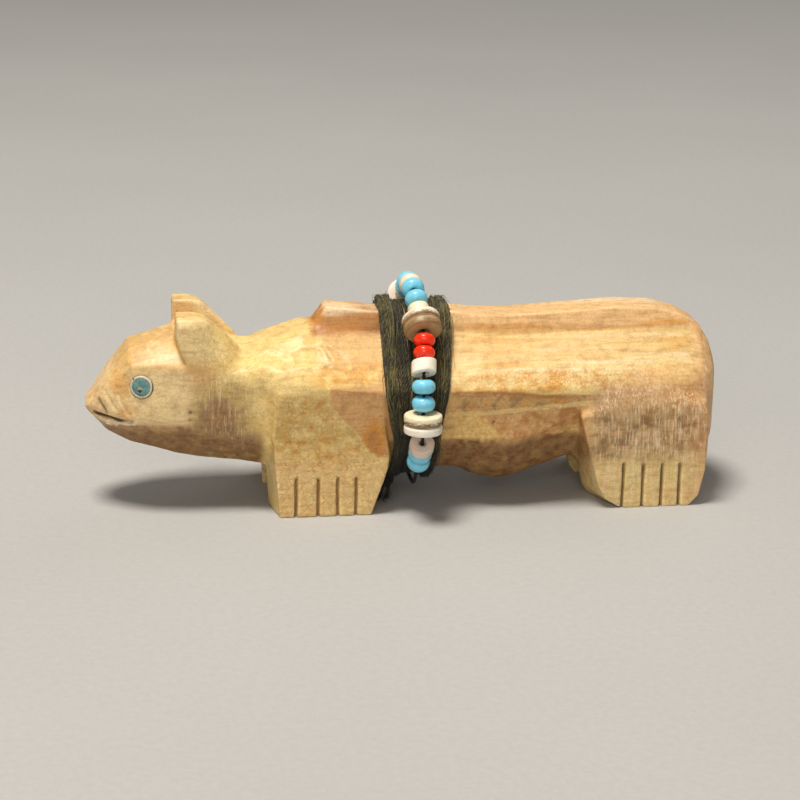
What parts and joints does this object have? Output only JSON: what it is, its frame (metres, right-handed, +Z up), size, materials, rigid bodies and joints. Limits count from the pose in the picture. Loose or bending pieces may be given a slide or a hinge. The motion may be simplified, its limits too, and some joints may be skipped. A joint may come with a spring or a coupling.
{
  "type": "carved stone animal figure",
  "caption": "Small hand-carved stone mountain lion with inlaid eyes, bound round the middle with thread and a strand of beads that turn on their string.",
  "frame": {"origin": "on the ground under the middle of the bounding box", "axes": "+Z up, -X towards the nose, -Y towards the animal's left side"},
  "size_m": [0.061, 0.0224, 0.0217],
  "materials": {
    "stone": "hand-ground, semi-polished",
    "turquoise": "polished",
    "eye_cement": "matt",
    "waxed_thread": "waxed, fibrous",
    "strand_string": "twisted thread",
    "blue_glass": "opaque, glossy",
    "red_glass": "opaque, glossy",
    "white_glass": "opaque, satin",
    "shell": "ground, satin",
    "shell_disc": "ground, satin"
  },
  "bodies": {
    "carving": {"stone_body": "stone", "eye_inlay_left": "turquoise", "eye_inlay_right": "turquoise", "eye_cement_left": "eye_cement", "eye_cement_right": "eye_cement", "wrap_front_bundle": "waxed_thread", "wrap_rear_bundle": "waxed_thread", "wrap_knot": "waxed_thread", "bead_string": "strand_string"},
    "bead_01_white": {"bead_01_white": "white_glass"},
    "bead_02_blue": {"bead_02_blue": "blue_glass"},
    "bead_03_blue": {"bead_03_blue": "blue_glass"},
    "bead_04_small_tube": {"bead_04_small_tube": "shell"},
    "bead_05_disc": {"bead_05_disc": "shell_disc"},
    "bead_06_disc": {"bead_06_disc": "shell_disc"},
    "bead_07_red": {"bead_07_red": "red_glass"},
    "bead_08_red": {"bead_08_red": "red_glass"},
    "bead_09_tube": {"bead_09_tube": "shell"},
    "bead_10_blue": {"bead_10_blue": "blue_glass"},
    "bead_11_blue": {"bead_11_blue": "blue_glass"},
    "bead_12_disc": {"bead_12_disc": "shell_disc"},
    "bead_13_disc": {"bead_13_disc": "shell_disc"},
    "bead_14_short_tube": {"bead_14_short_tube": "shell"},
    "bead_15_blue": {"bead_15_blue": "blue_glass"},
    "bead_16_blue": {"bead_16_blue": "blue_glass"},
    "bead_17_blue": {"bead_17_blue": "blue_glass"},
    "bead_18_blue": {"bead_18_blue": "blue_glass"},
    "bead_19_short_tube": {"bead_19_short_tube": "shell"},
    "bead_20_disc": {"bead_20_disc": "shell_disc"},
    "bead_21_disc": {"bead_21_disc": "shell_disc"},
    "bead_22_blue": {"bead_22_blue": "blue_glass"},
    "bead_23_blue": {"bead_23_blue": "blue_glass"},
    "bead_24_tube": {"bead_24_tube": "shell"},
    "bead_25_red": {"bead_25_red": "red_glass"},
    "bead_26_red": {"bead_26_red": "red_glass"},
    "bead_27_disc": {"bead_27_disc": "shell_disc"},
    "bead_28_disc": {"bead_28_disc": "shell_disc"},
    "bead_29_small_tube": {"bead_29_small_tube": "shell"},
    "bead_30_blue": {"bead_30_blue": "blue_glass"},
    "bead_31_blue": {"bead_31_blue": "blue_glass"}
  },
  "joints": [
    {"name": "bead_01_white_spin", "type": "hinge", "parent": "carving", "child": "bead_01_white", "pos_m": [0.00045, 0.0003, 0.02055], "axis": [0, 1, 0], "continuous": true},
    {"name": "bead_02_blue_spin", "type": "hinge", "parent": "carving", "child": "bead_02_blue", "pos_m": [0.00047, 0.00193, 0.02033], "axis": [0.0339, 0.9486, -0.3147], "continuous": true},
    {"name": "bead_03_blue_spin", "type": "hinge", "parent": "carving", "child": "bead_03_blue", "pos_m": [0.00056, 0.00338, 0.01952], "axis": [0.0658, 0.7892, -0.6107], "continuous": true},
    {"name": "bead_04_small_tube_spin", "type": "hinge", "parent": "carving", "child": "bead_04_small_tube", "pos_m": [0.00065, 0.0044, 0.01873], "axis": [0.0658, 0.7892, -0.6107], "continuous": true},
    {"name": "bead_05_disc_spin", "type": "hinge", "parent": "carving", "child": "bead_05_disc", "pos_m": [0.00072, 0.00525, 0.01807], "axis": [0.0658, 0.7892, -0.6107], "continuous": true},
    {"name": "bead_06_disc_spin", "type": "hinge", "parent": "carving", "child": "bead_06_disc", "pos_m": [0.00078, 0.00617, 0.01733], "axis": [-0.0055, 0.7269, -0.6867], "continuous": true},
    {"name": "bead_07_red_spin", "type": "hinge", "parent": "carving", "child": "bead_07_red", "pos_m": [0.00068, 0.00697, 0.01642], "axis": [-0.1008, 0.627, -0.7725], "continuous": true},
    {"name": "bead_08_red_spin", "type": "hinge", "parent": "carving", "child": "bead_08_red", "pos_m": [0.00056, 0.00773, 0.01547], "axis": [-0.1008, 0.627, -0.7725], "continuous": true},
    {"name": "bead_09_tube_spin", "type": "hinge", "parent": "carving", "child": "bead_09_tube", "pos_m": [0.00042, 0.00865, 0.01419], "axis": [-0.0692, 0.4527, -0.889], "continuous": true},
    {"name": "bead_10_blue_spin", "type": "hinge", "parent": "carving", "child": "bead_10_blue", "pos_m": [0.00035, 0.00914, 0.01242], "axis": [-0.0023, 0.0756, -0.9971], "continuous": true},
    {"name": "bead_11_blue_spin", "type": "hinge", "parent": "carving", "child": "bead_11_blue", "pos_m": [0.00035, 0.00923, 0.01103], "axis": [0, 0.0624, -0.9981], "continuous": true},
    {"name": "bead_12_disc_spin", "type": "hinge", "parent": "carving", "child": "bead_12_disc", "pos_m": [0.00035, 0.00932, 0.00953], "axis": [0, 0.0624, -0.9981], "continuous": true},
    {"name": "bead_13_disc_spin", "type": "hinge", "parent": "carving", "child": "bead_13_disc", "pos_m": [0.00035, 0.00873, 0.00741], "axis": [0, -0.6239, -0.7815], "continuous": true},
    {"name": "bead_14_short_tube_spin", "type": "hinge", "parent": "carving", "child": "bead_14_short_tube", "pos_m": [0.00035, 0.008, 0.0065], "axis": [0, -0.6239, -0.7815], "continuous": true},
    {"name": "bead_15_blue_spin", "type": "hinge", "parent": "carving", "child": "bead_15_blue", "pos_m": [0.00035, 0.00715, 0.00543], "axis": [0, -0.6239, -0.7815], "continuous": true},
    {"name": "bead_16_blue_spin", "type": "hinge", "parent": "carving", "child": "bead_16_blue", "pos_m": [0.00035, 0.00628, 0.00435], "axis": [0, -0.6239, -0.7815], "continuous": true},
    {"name": "bead_17_blue_spin", "type": "hinge", "parent": "carving", "child": "bead_17_blue", "pos_m": [0.00035, -0.00701, 0.00526], "axis": [0, -0.6239, 0.7815], "continuous": true},
    {"name": "bead_18_blue_spin", "type": "hinge", "parent": "carving", "child": "bead_18_blue", "pos_m": [0.00035, -0.00788, 0.00634], "axis": [0, -0.6239, 0.7815], "continuous": true},
    {"name": "bead_19_short_tube_spin", "type": "hinge", "parent": "carving", "child": "bead_19_short_tube", "pos_m": [0.00035, -0.00873, 0.00742], "axis": [0, -0.6239, 0.7815], "continuous": true},
    {"name": "bead_20_disc_spin", "type": "hinge", "parent": "carving", "child": "bead_20_disc", "pos_m": [0.00035, -0.00934, 0.00926], "axis": [0, 0.0624, 0.9981], "continuous": true},
    {"name": "bead_21_disc_spin", "type": "hinge", "parent": "carving", "child": "bead_21_disc", "pos_m": [0.00035, -0.00928, 0.01023], "axis": [0, 0.0624, 0.9981], "continuous": true},
    {"name": "bead_22_blue_spin", "type": "hinge", "parent": "carving", "child": "bead_22_blue", "pos_m": [0.00035, -0.00918, 0.01173], "axis": [0, 0.0624, 0.9981], "continuous": true},
    {"name": "bead_23_blue_spin", "type": "hinge", "parent": "carving", "child": "bead_23_blue", "pos_m": [0.00037, -0.009, 0.01327], "axis": [0.0341, 0.2565, 0.9659], "continuous": true},
    {"name": "bead_24_tube_spin", "type": "hinge", "parent": "carving", "child": "bead_24_tube", "pos_m": [0.00049, -0.00819, 0.01491], "axis": [0.0971, 0.6072, 0.7886], "continuous": true},
    {"name": "bead_25_red_spin", "type": "hinge", "parent": "carving", "child": "bead_25_red", "pos_m": [0.00063, -0.00728, 0.01603], "axis": [0.1008, 0.627, 0.7725], "continuous": true},
    {"name": "bead_26_red_spin", "type": "hinge", "parent": "carving", "child": "bead_26_red", "pos_m": [0.00076, -0.0065, 0.01699], "axis": [0.075, 0.6559, 0.7511], "continuous": true},
    {"name": "bead_27_disc_spin", "type": "hinge", "parent": "carving", "child": "bead_27_disc", "pos_m": [0.00074, -0.00554, 0.01785], "axis": [-0.0658, 0.7892, 0.6107], "continuous": true},
    {"name": "bead_28_disc_spin", "type": "hinge", "parent": "carving", "child": "bead_28_disc", "pos_m": [0.00068, -0.00478, 0.01844], "axis": [-0.0658, 0.7892, 0.6107], "continuous": true},
    {"name": "bead_29_small_tube_spin", "type": "hinge", "parent": "carving", "child": "bead_29_small_tube", "pos_m": [0.00061, -0.00393, 0.0191], "axis": [-0.0658, 0.7892, 0.6107], "continuous": true},
    {"name": "bead_30_blue_spin", "type": "hinge", "parent": "carving", "child": "bead_30_blue", "pos_m": [0.00052, -0.00281, 0.01992], "axis": [-0.0554, 0.856, 0.514], "continuous": true},
    {"name": "bead_31_blue_spin", "type": "hinge", "parent": "carving", "child": "bead_31_blue", "pos_m": [0.00046, -0.00121, 0.0205], "axis": [-0.0164, 0.9882, 0.1523], "continuous": true}
  ]
}
